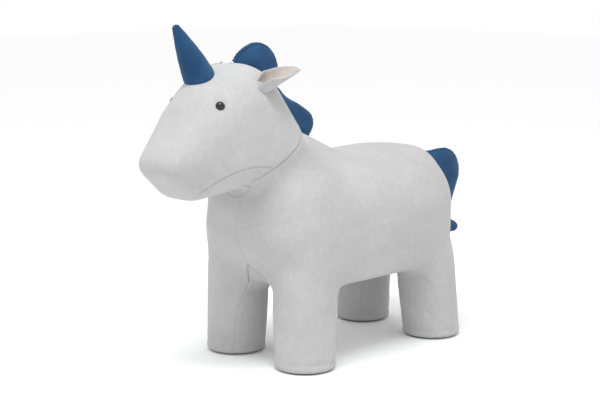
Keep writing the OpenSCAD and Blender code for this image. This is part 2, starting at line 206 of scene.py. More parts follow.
# %% Lights
def soft_box(name, place, aim, size, watts, colour=(1, 1, 1)):
    bpy.ops.object.light_add(type="AREA", location=place)
    light = bpy.context.object
    light.name = name
    light.data.shape = "RECTANGLE"
    light.data.size, light.data.size_y = size
    light.data.energy = watts
    light.data.color = colour
    light.rotation_euler = (Vector(place) - Vector(aim)).to_track_quat("Z", "Y").to_euler()
    return light


soft_box("overhead", (0.5, -0.8, 2.3), (0, 0, 0.3), (1.4, 0.45), 30, (0.96, 0.98, 1.0))

world = bpy.data.worlds.new("studio")
bpy.context.scene.world = world
world.use_nodes = True
world.node_tree.nodes["Background"].inputs["Color"].default_value = (1, 1, 1, 1)
world.node_tree.nodes["Background"].inputs["Strength"].default_value = 1.0
bpy.context.scene.view_settings.view_transform = "Standard"

# %% [markdown]
# ## Cloth and other finishes
# Velour is a knitted cloth with a short, dense pile. Three things make it read as velour: the pile catches
# light at grazing angles, which is the sheen; the nap lies this way and that, which gives broad, faint
# patches; and single tufts give a fine grain. Along seams, creases and lines of stitching a point attribute
# called "seam" darkens the colour: this is painted shade for the grooves there. One function makes every
# colour of velour.

# %% A node helper
def new_material(name, roughness):
    material = bpy.data.materials.new(name)
    material.use_nodes = True
    tree = material.node_tree
    surface = tree.nodes["Principled BSDF"]
    surface.inputs["Roughness"].default_value = roughness
    place = tree.nodes.new("ShaderNodeTexCoord").outputs["Object"]
    return material, tree, surface, place


def noise_node(tree, place, size, detail=3.0, stretch=(1, 1, 1)):
    """A noise whose blobs are about size metres across, stretched along any axis."""
    mapping = tree.nodes.new("ShaderNodeMapping")
    mapping.inputs["Scale"].default_value = [1 / s for s in stretch]
    tree.links.new(place, mapping.inputs["Vector"])
    noise = tree.nodes.new("ShaderNodeTexNoise")
    noise.inputs["Scale"].default_value = 0.5 / size
    noise.inputs["Detail"].default_value = detail
    tree.links.new(mapping.outputs["Vector"], noise.inputs["Vector"])
    return noise.outputs["Fac"]


def shade_between(tree, factor, low, high, dark, light):
    """A colour from dark to light as factor goes from low to high."""
    ramp = tree.nodes.new("ShaderNodeValToRGB")
    ramp.color_ramp.elements[0].position = low
    ramp.color_ramp.elements[1].position = high
    ramp.color_ramp.elements[0].color = (*dark, 1)
    ramp.color_ramp.elements[1].color = (*light, 1)
    tree.links.new(factor, ramp.inputs["Fac"])
    return ramp.outputs["Color"]


def mixed(tree, a, b, factor, blend="MULTIPLY"):
    mix = tree.nodes.new("ShaderNodeMix")
    mix.data_type = "RGBA"
    mix.blend_type = blend
    mix.inputs["Factor"].default_value = factor
    tree.links.new(a, mix.inputs["A"])
    tree.links.new(b, mix.inputs["B"])
    return mix.outputs["Result"]


def bump(tree, height, depth, normal=None):
    node = tree.nodes.new("ShaderNodeBump")
    node.inputs["Distance"].default_value = depth
    node.inputs["Strength"].default_value = 1.0
    tree.links.new(height, node.inputs["Height"])
    if normal is not None:
        tree.links.new(normal, node.inputs["Normal"])
    return node.outputs["Normal"]


# %% Velour
def velour(name, dark, light, sheen, nap=0.055, grain_depth=0.00018, painted_seam_shade=(0.80, 0.80, 0.81)):
    material, tree, surface, place = new_material(name, 0.92)
    nap_patches = noise_node(tree, place, nap, 4.0, (1.0, 1.0, 0.6))
    tufts = noise_node(tree, place, 0.0011, 2.0)
    clumps = noise_node(tree, place, 0.0045, 3.0, (1, 1, 1.6))
    colour = shade_between(tree, nap_patches, 0.36, 0.66, dark, light)
    grain = shade_between(tree, clumps, 0.3, 0.7, (0.90, 0.90, 0.90), (1, 1, 1))
    fleck = shade_between(tree, tufts, 0.32, 0.68, (0.86, 0.86, 0.86), (1, 1, 1))
    colour = mixed(tree, colour, grain, 0.7)
    colour = mixed(tree, colour, fleck, 0.6)
    # Painted shade: the colour is darkened along seams, creases and stitch lines, where the groove is in
    # shade.
    seam = tree.nodes.new("ShaderNodeAttribute")
    seam.attribute_name = "seam"
    colour = mixed(tree, colour, shade_between(tree, seam.outputs["Fac"], 0, 1, (1, 1, 1), painted_seam_shade), 1.0)
    tree.links.new(colour, surface.inputs["Base Color"])
    rough = tree.nodes.new("ShaderNodeMapRange")
    rough.inputs["To Min"].default_value = 0.82
    rough.inputs["To Max"].default_value = 0.98
    tree.links.new(clumps, rough.inputs["Value"])
    tree.links.new(rough.outputs["Result"], surface.inputs["Roughness"])
    soft_bump = bump(tree, clumps, 3 * grain_depth)
    tree.links.new(bump(tree, tufts, grain_depth, soft_bump), surface.inputs["Normal"])
    surface.inputs["Sheen Weight"].default_value = sheen
    surface.inputs["Sheen Roughness"].default_value = 0.45
    surface.inputs["Specular IOR Level"].default_value = 0.15
    return material


white_velour = velour("white_velour", (0.455, 0.451, 0.450), (0.492, 0.488, 0.488), 0.12)
blue_velour = velour("blue_velour", (0.015, 0.058, 0.135), (0.0235, 0.083, 0.188), 0.10, 0.03,
                     painted_seam_shade=(0.35, 0.38, 0.45))
ear_lining_cloth = velour("ear_lining_cloth", (0.40, 0.355, 0.32), (0.47, 0.425, 0.385), 0.1, 0.02)

# %% [markdown]
# The rest of the finishes are inside or underneath: pine posts, birch plywood, foam, stuffing,
# dark felt under the feet, steel and nylon. They get the same care, because the part comes apart.

# %% Wood
def timber(name, dark, light, ring_size, grain_axis):
    material, tree, surface, place = new_material(name, 0.62)
    stretch = [1, 1, 1]
    stretch[grain_axis] = 14
    rings = noise_node(tree, place, ring_size, 6.0, stretch)
    pores = noise_node(tree, place, 0.0008, 3.0, [0.5 + 0.5 * s for s in stretch])
    colour = shade_between(tree, rings, 0.38, 0.62, dark, light)
    colour = mixed(tree, colour, shade_between(tree, pores, 0.3, 0.6, (0.8, 0.78, 0.75), (1, 1, 1)), 0.6)
    tree.links.new(colour, surface.inputs["Base Color"])
    tree.links.new(bump(tree, pores, 0.0002), surface.inputs["Normal"])
    return material


pine_upright = timber("pine_upright", (0.50, 0.30, 0.13), (0.72, 0.50, 0.27), 0.008, 2)
pine_long = timber("pine_long", (0.50, 0.30, 0.13), (0.72, 0.50, 0.27), 0.008, 1)
pine_cross = timber("pine_cross", (0.50, 0.30, 0.13), (0.72, 0.50, 0.27), 0.008, 0)
birch_ply = timber("birch_ply", (0.60, 0.42, 0.22), (0.78, 0.60, 0.38), 0.012, 1)


# %% Foam, stuffing, felt, steel and nylon
def crumbly(name, dark, light, cell, depth, roughness=0.95, sheen=0.0):
    """Foam, stuffing and felt are alike: a matt body full of cells or fibres of one size."""
    material, tree, surface, place = new_material(name, roughness)
    cells = tree.nodes.new("ShaderNodeTexVoronoi")
    cells.inputs["Scale"].default_value = 1 / cell
    tree.links.new(place, cells.inputs["Vector"])
    patches = noise_node(tree, place, 0.05, 3.0)
    colour = shade_between(tree, patches, 0.35, 0.65, dark, light)
    # Painted shade: the colour darkens at the bottoms of the cells, which the bump sinks.
    pit_shade = shade_between(tree, cells.outputs["Distance"], 0.1, 0.7, (0.72, 0.72, 0.72), (1, 1, 1))
    tree.links.new(mixed(tree, colour, pit_shade, 0.6), surface.inputs["Base Color"])
    tree.links.new(bump(tree, cells.outputs["Distance"], depth), surface.inputs["Normal"])
    surface.inputs["Sheen Weight"].default_value = sheen
    return material


foam_cells = crumbly("foam_cells", (0.72, 0.62, 0.36), (0.82, 0.74, 0.50), 0.0022, 0.0006)
stuffing = crumbly("stuffing", (0.80, 0.79, 0.75), (0.88, 0.87, 0.84), 0.006, 0.0012, 0.95, 0.4)
sole_felt = crumbly("sole_felt", (0.10, 0.10, 0.105), (0.15, 0.15, 0.155), 0.0012, 0.0003, 0.95, 0.2)


def hard(name, colour, roughness, metallic, scratch):
    material, tree, surface, place = new_material(name, roughness)
    marks = noise_node(tree, place, scratch, 5.0, (1, 1, 6))
    dark = [0.88 * c for c in colour]
    tree.links.new(shade_between(tree, marks, 0.35, 0.65, dark, colour), surface.inputs["Base Color"])
    tree.links.new(bump(tree, marks, 0.00004), surface.inputs["Normal"])
    surface.inputs["Metallic"].default_value = metallic
    return material


screw_steel = hard("screw_steel", (0.62, 0.60, 0.52), 0.28, 1.0, 0.0015)
glide_nylon = hard("glide_nylon", (0.10, 0.10, 0.11), 0.45, 0.0, 0.003)

# %% [markdown]
# An eye is black polished plastic. Most of it shows only a dim copy of the white room, and the soft
# box above gives it a bright catch-light.

# %% Eye plastic
eye_plastic = hard("eye_plastic", (0.004, 0.004, 0.005), 0.03, 0.0, 0.004)
eye_plastic.node_tree.nodes["Principled BSDF"].inputs["IOR"].default_value = 1.55
print(len(bpy.data.materials), "materials")

# %% [markdown]
# ## The stuffed body
# On the real seat the cloth is pulled tight over foam, so the visible skin follows the foam but
# rounds off every inner corner, where cloth spans from one form to the next. The frame's covers,
# foam and timber are copied and joined, and a voxel remesh wraps them all in one even skin.

# %% Copying solids of the frame
def copy_of(name, nodes):
    """One merged mesh of copies of frame nodes, which themselves stay as they are."""
    copies = []
    for node in nodes:
        copy = bpy.data.objects.new(name, frame["nodes"][node].data.copy())
        bpy.context.scene.collection.objects.link(copy)
        copies.append(copy)
    select_only(*copies)
    if len(copies) > 1:
        bpy.ops.object.join()
    piece = bpy.context.view_layer.objects.active
    piece.name = name
    piece.data.materials.clear()
    edit_faces(piece, np.ones(len(piece.data.polygons), bool))
    bpy.ops.mesh.remove_doubles(threshold=0.02 * MM)
    leave_edit()
    return piece


def voxel_remesh(piece, size):
    select_only(piece)
    piece.data.remesh_voxel_size = size
    piece.data.remesh_voxel_adaptivity = 0
    bpy.ops.object.voxel_remesh()
    return piece


def keep_largest(piece):
    """Drops the closed pockets that a remesh can leave inside a skin."""
    select_only(piece)
    bpy.ops.mesh.separate(type="LOOSE")
    parts = sorted(bpy.context.selected_objects, key=lambda part: -len(part.data.vertices))
    for part in parts[1:]:
        bpy.data.objects.remove(part)
    return parts[0]


hidden_names = [n for n in frame["nodes"] if "foam" in n or "rail" in n or "post" in n]
cover_names = ["head_cover", "jaw_gusset", "body_cover_left", "body_cover_right", "belly_gusset",
               "sole_front_left", "sole_front_right", "sole_rear_left", "sole_rear_right"]
skin = copy_of("skin", cover_names + hidden_names + ["seat_deck", "belly_panel", "neck_board"])
voxel_remesh(skin, 6.4 * MM)
skin = keep_largest(skin)
skin.name = "skin"
print("skin:", len(skin.data.vertices), "points")

# %% [markdown]
# Where two forms meet, the remesh leaves a hard inner corner. Cloth can't follow one: it bridges the
# corner in a soft curve. So the edges that fold inwards are found by their angle, the selection grows
# by a few rows of faces, and only those points are smoothed many times. Then the whole skin gets a
# light smoothing, which takes out the flats that the plain solids have.

# %% Rounding the inner corners
INNER_CORNER = math.radians(-11)


def folds_inwards(edge):
    return edge.is_manifold and edge.calc_face_angle_signed() < INNER_CORNER


edit_edges(skin, folds_inwards)
for row in range(2):
    bpy.ops.mesh.select_more()
bpy.ops.mesh.vertices_smooth(factor=0.5, repeat=24)
bpy.ops.mesh.select_more()
bpy.ops.mesh.vertices_smooth(factor=0.5, repeat=8)
bpy.ops.mesh.select_all(action="SELECT")
bpy.ops.mesh.vertices_smooth(factor=0.5, repeat=9)
leave_edit()
print("skin box:", *(c.round(3) for c in (points(skin).min(0), points(skin).max(0))))

# %% [markdown]
# ## Cloth that swells
# Foam pushes its cover outwards, and the cover's own tension spreads that push. Blender's Cloth with
# a little pressure and no gravity does the same. A cap on how far a point may move keeps the part at
# its size. The simulated shape is applied at once, so that nothing is left to run later.

# %% The inflating helper
def inflate(piece, pressure, cap, held=None, stiffness=15.0, bending=0.5, frames=20):
    before = points(piece)
    cloth = piece.modifiers.new("Cloth", "CLOTH")
    cloth.settings.quality = 5
    cloth.settings.mass = 0.3
    cloth.settings.tension_stiffness = stiffness
    cloth.settings.compression_stiffness = stiffness
    cloth.settings.bending_stiffness = bending
    cloth.settings.use_pressure = True
    cloth.settings.uniform_pressure_force = pressure
    cloth.settings.effector_weights.gravity = 0
    cloth.collision_settings.use_collision = False
    cloth.point_cache.frame_end = frames
    if held is not None:
        group = piece.vertex_groups.new(name="held")
        group.add([int(i) for i in np.nonzero(held)[0]], 1.0, "REPLACE")
        cloth.settings.vertex_group_mass = "held"
    for number in range(1, frames + 1):
        bpy.context.scene.frame_set(number)
    select_only(piece)
    bpy.ops.object.modifier_apply(modifier=cloth.name)
    bpy.context.scene.frame_set(1)
    moved = points(piece) - before
    length = np.linalg.norm(moved, axis=1, keepdims=True)
    set_points(piece, before + moved * np.minimum(1, cap / np.maximum(length, 1e-9)))
    return piece


FOOT_TOP = cad_low.z + 24 * MM
inflate(skin, 4.0, 1.6 * MM, held=points(skin)[:, 2] < FOOT_TOP)
print("the skin swelled to", points(skin).max(0).round(3))

# %% One subdivision
def subdivide(piece, levels=1):
    return apply_modifier(piece, "SUBSURF", levels=levels, render_levels=levels)


subdivide(skin)
print("skin:", len(skin.data.polygons), "faces")

# %% [markdown]
# ## Feet
# The feet end in a flat, with a small even rounding that the remesh can't hold. So the skin is cut
# off a little above the floor, the open rim of each leg is made a true circle, and then it is
# extruded down and in, ring by ring, round a quarter circle.

# %% Foot sizes, from the frame
sole_low, sole_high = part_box("sole_front_left")
foot_centre = (sole_low + sole_high) / 2
rear_centre = sum(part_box("sole_rear_left"), Vector()) / 2
SOLE_R = (sole_high.x - sole_low.x) / 2
FOOT_EDGE = 7 * MM
FOOT_R = SOLE_R + FOOT_EDGE
FLOOR_OF_FOOT = sole_low.z
CUT_Z = FLOOR_OF_FOOT + 13 * MM
feet = [(side, centre) for side in (1, -1) for centre in (foot_centre, rear_centre)]
print("a foot is", round(2 * FOOT_R, 3), "across")

# %% Rebuilding the feet
edit_faces(skin, np.ones(len(skin.data.polygons), bool))
bpy.ops.mesh.bisect(plane_co=(0, 0, CUT_Z), plane_no=(0, 0, 1), clear_inner=True)
leave_edit()


def rim_of(side, centre):
    """Chooses the open rim round one foot."""
    middle = Vector((side * centre.x, centre.y, 0))

    def choose(edge):
        at = (edge.verts[0].co + edge.verts[1].co) / 2
        return edge.is_boundary and (at.xy - middle.xy).length < 1.5 * FOOT_R

    return choose


RING_STEPS = 5
for side, centre in feet:
    middle = Vector((side * centre.x, centre.y, 0))
    edit_edges(skin, rim_of(side, centre))
    mesh = bmesh.from_edit_mesh(skin.data)
    for point in mesh.verts:
        if point.select:
            out = (point.co.xy - middle.xy).normalized() * FOOT_R
            point.co = Vector((middle.x + out.x, middle.y + out.y, CUT_Z))
    bmesh.update_edit_mesh(skin.data)
    radius = FOOT_R
    for step in range(RING_STEPS + 1):
        angle = math.pi / 2 * step / RING_STEPS
        ring_r = FOOT_R - FOOT_EDGE * (1 - math.cos(angle))
        ring_z = FLOOR_OF_FOOT + FOOT_EDGE * (1 - math.sin(angle))
        bpy.ops.mesh.extrude_region_move()
        mesh = bmesh.from_edit_mesh(skin.data)
        for point in mesh.verts:
            if point.select:
                out = (point.co.xy - middle.xy).normalized() * ring_r
                point.co = Vector((middle.x + out.x, middle.y + out.y, ring_z))
        bmesh.update_edit_mesh(skin.data)
    leave_edit()

# %% Evening out the new rows above each foot
near_cut = np.abs(face_centres(skin)[:, 2] - CUT_Z - 8 * MM) < 12 * MM
edit_faces(skin, near_cut)
bpy.ops.mesh.vertices_smooth(factor=0.5, repeat=3, zaxis=False)
leave_edit()
print("skin with feet:", len(skin.data.polygons), "faces")

# %% [markdown]
# ## Seams
# The cover is cut from panels. A seam is more than a painted line: two edges are turned under, so the cloth
# rolls down into a narrow groove, and painted shade darkens that groove as well. Each seam here is a plane,
# or a plane seen through a curve: the skin is sliced along it and along a few lines beside it, which gives
# the groove clean rows of points. For a curved seam the skin is slid so that the curve lies flat, sliced,
# and slid back.

# %% Slicing along a seam
ROWS = [0, -0.8, 0.8, -1.7, 1.7, -3, 3, -5, 5]


def slice_seam(piece, point, normal, where, slide=None):
    """Cuts rows of edges along a plane, only through faces for which where(centres) is true."""
    point, normal = Vector(point), Vector(normal).normalized()
    if slide:
        set_points(piece, slide(points(piece), 1))
    for row in ROWS:
        centres = face_centres(piece)
        real = slide(centres, -1) if slide else centres
        near = np.abs((centres - np.array(point)) @ np.array(normal)) < 9 * MM
        edit_faces(piece, near & where(real))
        bpy.ops.mesh.bisect(plane_co=point + normal * row * MM, plane_no=normal)
        leave_edit()
    if slide:
        set_points(piece, slide(points(piece), -1))


# %% [markdown]
# The neck seam climbs towards the nape and dips at the throat, so it isn't flat. Its height is a
# formula of x and y. The jaw seam is an arch seen from the side, drawn as one Bezier curve, and the
# belly panel narrows to a point on the chest and on the rump.

# %% Where the seams run
NECK = Vector((0, -0.2217, 0.3988))
THROAT_HALF = 0.070
THROAT_DIP = 0.053


def neck_height(x, y):
    t = y - NECK.y
    front = np.clip((NECK.y + 0.07 - y) / 0.05, 0, 1)
    dip = THROAT_DIP * np.clip(1 - (x / THROAT_HALF) ** 2, 0, 1) * front
    return NECK.z + 0.68 * t + 2.2 * t * t - dip


JAW_ARCH = [(-0.185, 0.385), (-0.262, 0.417), (-0.332, 0.414), (-0.395, 0.335)]


def bezier(corners, count=60):
    t = np.linspace(0, 1, count)[:, None]
    a, b, c, d = (np.array(corner) for corner in corners)
    return (1 - t) ** 3 * a + 3 * t * (1 - t) ** 2 * b + 3 * t * t * (1 - t) * c + t ** 3 * d


jaw_line = bezier(JAW_ARCH)[::-1]


def jaw_height(y):
    return np.interp(y, jaw_line[:, 0], jaw_line[:, 1], left=0.2)


BELLY_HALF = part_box("belly_gusset")[1].x
BELLY_POINT_Z = 0.198
BELLY_SPREAD = 0.060


def belly_half(z):
    """Half the width of the belly panel at a height, which is below zero above its point."""
    return BELLY_HALF * (1 - np.exp((z - BELLY_POINT_Z) / BELLY_SPREAD))


# %% Slides that lay the curved seams flat
def slide_neck(at, way):
    return at - way * np.stack([0 * at[:, 0], 0 * at[:, 0], neck_height(at[:, 0], at[:, 1])], 1)


def slide_jaw(at, way):
    return at - way * np.stack([0 * at[:, 0], 0 * at[:, 0], jaw_height(at[:, 1])], 1)


def slide_belly(side):
    def slide(at, way):
        half = belly_half(at[:, 2])
        return at - way * np.stack([side * half, 0 * half, 0 * half], 1)
    return slide


def is_head(at):
    return (at[:, 1] < -0.05) & (at[:, 2] > neck_height(at[:, 0], at[:, 1]))


# %% Slice all seams
slice_seam(skin, (0, 0, 0), (0, 0, 1), lambda at: at[:, 1] < -0.05, slide_neck)
slice_seam(skin, (0, 0, 0), (0, 0, 1), lambda at: is_head(at) & (at[:, 1] > JAW_ARCH[3][0]), slide_jaw)
for side in (1, -1):
    slice_seam(skin, (0, 0, 0), (1, 0, 0),
               lambda at: (side * at[:, 0] > 0) & (at[:, 2] < BELLY_POINT_Z), slide_belly(side))
slice_seam(skin, (0, 0, 0), (1, 0, 0),
           lambda at: ~is_head(at) & (np.abs(at[:, 0]) > belly_half(at[:, 2])))
print("sliced skin:", len(skin.data.polygons), "faces")

# %% [markdown]
# Every face now belongs to one panel. Where two panels meet, the edge between them is a seam, and the
# distance from it decides how far a point sinks or, a few millimetres away, swells. The seams that
# run down inside the legs and under the throat are drawn flatter, because nothing pulls on them.

# %% Name the panel of every face
PANELS = ["head_cover", "jaw_gusset", "body_cover_left", "body_cover_right", "belly_gusset"]
GROOVE = {("head_cover", "jaw_gusset"): 1.2 * MM, ("body_cover_left", "body_cover_right"): 0.45 * MM}
GROOVE_USUAL = 1.7 * MM
at = face_centres(skin)
panel = np.where(at[:, 0] > 0, 2, 3)
panel[np.abs(at[:, 0]) < belly_half(at[:, 2])] = 4
panel[is_head(at)] = 0
panel[is_head(at) & (at[:, 2] < jaw_height(at[:, 1])) & (at[:, 1] > JAW_ARCH[3][0])] = 1
print({name: int((panel == i).sum()) for i, name in enumerate(PANELS)})


# %% Sink the seams
def seam_samples(piece, face_panel):
    """Points along every edge between two panels, with the depth of its groove."""
    loops = np.zeros(len(piece.data.loops), int)
    piece.data.loops.foreach_get("edge_index", loops)
    counts = np.zeros(len(piece.data.polygons), int)
    piece.data.polygons.foreach_get("loop_total", counts)
    of_face = np.repeat(face_panel, counts)
    lowest = np.full(len(piece.data.edges), 99)
    highest = np.full(len(piece.data.edges), -1)
    np.minimum.at(lowest, loops, of_face)
    np.maximum.at(highest, loops, of_face)
    places = points(piece)
    found, depths = [], []
    for index in np.nonzero((highest >= 0) & (lowest != highest))[0]:
        a, b = (places[v] for v in piece.data.edges[index].vertices)
        pair = (PANELS[lowest[index]], PANELS[highest[index]])
        for t in (0, 0.25, 0.5, 0.75):
            found.append(a + t * (b - a))
            depths.append(GROOVE.get(pair, GROOVE_USUAL))
    return np.array(found), np.array(depths)


def nearest(targets, places, reach):
    """The distance from each place to the nearest target, and which one it is."""
    tree = kdtree.KDTree(len(targets))
    for index, target in enumerate(targets):
        tree.insert(target, index)
    tree.balance()
    low, high = targets.min(0) - reach, targets.max(0) + reach
    distance = np.full(len(places), 1.0)
    which = np.zeros(len(places), int)
    for index in np.nonzero(((places > low) & (places < high)).all(1))[0]:
        _, which[index], distance[index] = tree.find(places[index])
    return distance, which


def rolled(distance, depth, width=1.5 * MM):
    """How far a point near a seam sinks: a narrow groove with a slight swell on each side."""
    return depth * (np.exp(-(distance / width) ** 2)
                    - 0.22 * np.exp(-((distance - 4.5 * MM) / (2.6 * MM)) ** 2))


def paint_groove_shade(piece, shade):
    """Keeps how deep in a seam or crease each point lies, from 0 to 1, which the material turns into
    painted shade.
    """
    layer = piece.data.attributes.get("seam") or piece.data.attributes.new("seam", "FLOAT", "POINT")
    before = np.zeros(len(piece.data.vertices))
    layer.data.foreach_get("value", before)
    layer.data.foreach_set("value", np.maximum(before, np.clip(shade, 0, 1)))


seam_points, seam_depths = seam_samples(skin, panel)
low_leg = seam_points[:, 2] < 0.15
throat = (np.abs(seam_points[:, 0]) < THROAT_HALF) & (seam_points[:, 2] < 0.36) & (seam_points[:, 2] > 0.3)
seam_depths[low_leg | (throat & (seam_points[:, 1] < -0.2))] *= 0.3
distance, which = nearest(seam_points, points(skin), 10 * MM)
# Painted shade along every seam, as deep as its groove, so it is fainter on the legs and under the throat.
paint_groove_shade(skin, np.exp(-(distance / (1.5 * MM)) ** 2) * seam_depths[which] / GROOVE_USUAL)
set_points(skin, points(skin) - point_normals(skin) * rolled(distance, seam_depths[which])[:, None])
print(len(seam_points), "places along the seams")

# %% [markdown]
# An eye on a shank pulls the cloth in, an ear that is sewn on leaves a shallow dip round its root, and
# the brow in front of the horn is fuller than the plain solid. These are pushes along the surface's
# normal that fade with distance. A crease in taut cloth is the same along a line, a millimetre deep.

# %% Dips and creases
def dip(piece, centre, radius, depth):
    away = np.linalg.norm(points(piece) - np.array(centre), axis=1)
    fade = depth * np.exp(-(away / radius) ** 2)
    set_points(piece, points(piece) - point_normals(piece) * fade[:, None])


def curve_through(corners, step=1.0 * MM):
    """Points every step along straight runs between corners, then rounded."""
    corners = [Vector(c) for c in corners]
    line = []
    for a, b in zip(corners, corners[1:]):
        count = max(2, int((b - a).length / step))
        line += [a.lerp(b, i / count) for i in range(count)]
    line = np.array(line + [corners[-1]])
    for _ in range(40):
        line[1:-1] = (line[:-2] + line[1:-1] + line[2:]) / 3
    return line


def crease(piece, corners, depth, width):
    """A line pressed into the cloth and darkened with painted shade, fading to nothing at both ends."""
    line = curve_through(corners)
    fade = np.sin(np.linspace(0, math.pi, len(line))) ** 0.7
    distance, which = nearest(line, points(piece), 12 * MM)
    sink = depth * fade[which] * (np.exp(-(distance / width) ** 2)
                                  - 0.3 * np.exp(-((distance - 2.4 * width) / width) ** 2))
    # Painted shade along the crease.
    paint_groove_shade(piece, 0.6 * fade[which] * np.exp(-(distance / width) ** 2))
    set_points(piece, points(piece) - point_normals(piece) * sink[:, None])


# %% Where the eyes, ears and horn sit
def mirrored(place):
    return Vector((-place[0], place[1], place[2]))


EYE_NORMAL = Vector((0.628, -0.488, 0.606)).normalized()
EYE_R = 9 * MM
EYE_PLACE = Vector((0.0676, -0.3305, 0.5209))
joints = {joint["name"]: joint for joint in frame["joints"]}
BROW = Vector((0, -0.352, 0.545))
BROW_SPREAD = 52 * MM
BROW_RISE = 14 * MM
EAR_ROOT = Vector(joints["ear_left_flop"]["pos_m"])
HORN_ROOT = Vector(joints["horn_bend"]["pos_m"])
print("ear root", EAR_ROOT, "horn root", HORN_ROOT, "eye", EYE_PLACE)

dip(skin, BROW, BROW_SPREAD, -BROW_RISE)
for spot in (EYE_PLACE, mirrored(EYE_PLACE)):
    dip(skin, spot, 13 * MM, 2.2 * MM)
for spot in (EAR_ROOT, mirrored(EAR_ROOT)):
    dip(skin, spot, 16 * MM, 1.2 * MM)
CHEST_CREASE = [(-0.045, -0.229, 0.268), (0.0, -0.2316, 0.2745), (0.037, -0.2319, 0.2823),
                (0.070, -0.2293, 0.293), (0.101, -0.217, 0.306)]
crease(skin, CHEST_CREASE, 0.9 * MM, 1.6 * MM)
LEG_CREASES = [[(-0.049, -0.180, 0.140), (-0.037, -0.161, 0.132), (-0.037, -0.122, 0.121)],
               [(-0.049, -0.183, 0.131), (-0.037, -0.160, 0.1245), (-0.038, -0.126, 0.115)]]
for line in LEG_CREASES:
    crease(skin, line, 1.1 * MM, 1.5 * MM)
    crease(skin, [mirrored(p) for p in line], 0.8 * MM, 1.5 * MM)

# %% [markdown]
# ## Panels of cloth
# Each panel is split off as a piece of its own and given the cloth's thickness, inwards. Together
# they close round the foam as the sewn cover does, and the soles close the feet.

# %% Split the skin into panels
CLOTH = 1.6 * MM


def finish_cloth(piece, material, body="body", angle=50):
    """Smooth shading, the material, and what the frame needs to know about a stuffed piece."""
    select_only(piece)
    bpy.ops.object.shade_smooth_by_angle(angle=math.radians(angle))
    piece.data.materials.clear()
    piece.data.materials.append(material)
    if body:
        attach(piece, body)
    return piece


def thicken(piece, thickness=CLOTH):
    return apply_modifier(piece, "SOLIDIFY", thickness=thickness, offset=-1, use_even_offset=False)


def take_faces(piece, chosen, name):
    """Splits the chosen faces off into a new piece."""
    edit_faces(piece, chosen)
    bpy.ops.mesh.separate(type="SELECTED")
    leave_edit()
    new = [o for o in bpy.context.selected_objects if o != piece][0]
    new.name = name
    return new


def surface_of(*pieces):
    """One search tree over the faces of several pieces."""
    places, faces = [], []
    for piece in pieces:
        faces += [tuple(v + len(places) for v in face.vertices) for face in piece.data.polygons]
        places += points(piece).tolist()
    return BVHTree.FromPolygons(places, faces)


covers = {}
for index, node in reversed(list(enumerate(PANELS))):
    if index == 0:
        cover = skin
        cover.name = "sewn_" + node
    else:
        cover = take_faces(skin, panel == index, "sewn_" + node)
        panel = panel[panel != index]
    covers[node] = cover

# %% [markdown]
# The outer faces of the head and the trunk are kept for searching before the cloth gets its
# thickness, so that a later piece can tell on which side of them a point lies.

# %% Thickness and finish of the panels
head_surface = surface_of(covers["head_cover"])
trunk_surface = surface_of(covers["body_cover_left"], covers["body_cover_right"])
for node, cover in covers.items():
    thicken(cover)
    finish_cloth(cover, white_velour)
    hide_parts(node)
    print(cover.name, len(cover.data.polygons), "faces")

# %% [markdown]
# A sole is a disc of felt with a line pressed into it just inside its rim, where it is sewn on. It
# meets the rounded edge of the foot.

# %% Soles
def sole(node, side, centre):
    middle = Vector((side * centre.x, centre.y, FLOOR_OF_FOOT))
    bpy.ops.mesh.primitive_cylinder_add(vertices=96, radius=SOLE_R, depth=CLOTH,
                                        location=middle + Vector((0, 0, CLOTH / 2)))
    disc = bpy.context.object
    disc.name = "felt_" + node
    bpy.ops.object.transform_apply(location=True, rotation=True, scale=True)
    edit_faces(disc, np.array([p.normal.z < -0.5 for p in disc.data.polygons]))
    bpy.ops.mesh.inset(thickness=1.6 * MM, depth=-0.5 * MM)
    bpy.ops.mesh.inset(thickness=0.8 * MM, depth=0.6 * MM)
    bpy.ops.mesh.inset(thickness=8 * MM)
    bpy.ops.mesh.inset(thickness=14 * MM)
    leave_edit()
    finish_cloth(disc, sole_felt)
    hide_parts(node)
    return disc


for node, side, centre in (("sole_front_left", 1, foot_centre), ("sole_front_right", -1, foot_centre),
                           ("sole_rear_left", 1, rear_centre), ("sole_rear_right", -1, rear_centre)):
    print(sole(node, side, centre).name)

# %% [markdown]
# ## Foam inside
# The foam blocks are cut with a hot wire and glued, so their edges are slightly soft and their skin
# is open cells. Each is remeshed from its solid, shrunk a little so that it stays under the cloth,
# and smoothed. The stuffing in the horn is lumpier. That of the mane and tail comes with their covers.

# %% Foam blocks
FOAM_BACK = 2.6 * MM


def soft_block(node, name, material, body, size, back, lumps=0.0):
    block = voxel_remesh(copy_of(name, [node]), size)
    edit_faces(block, np.ones(len(block.data.polygons), bool))
    bpy.ops.mesh.vertices_smooth(factor=0.5, repeat=2)
    leave_edit()
    at = points(block)
    wave = np.sin(at[:, 0] * 260) * np.sin(at[:, 1] * 230) * np.sin(at[:, 2] * 250)
    set_points(block, at - point_normals(block) * (back + lumps * wave)[:, None])
    finish_cloth(block, material, body)
    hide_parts(node)
    return block


for node in [n for n in frame["nodes"] if "foam" in n]:
    block = soft_block(node, "cut_" + node, foam_cells, "body", 6 * MM, FOAM_BACK)
    print(block.name, len(block.data.polygons), "faces")

# %% Stuffing of the horn
soft_block("horn_filling", "fibre_horn_filling", stuffing, "horn", 3.5 * MM, 3.0 * MM, 0.5 * MM)

# %% [markdown]
# ## The frame's own pieces
# Timber, plywood, screws, glides and washers already have their true shape. They only need their
# materials, with the grain running along each piece.

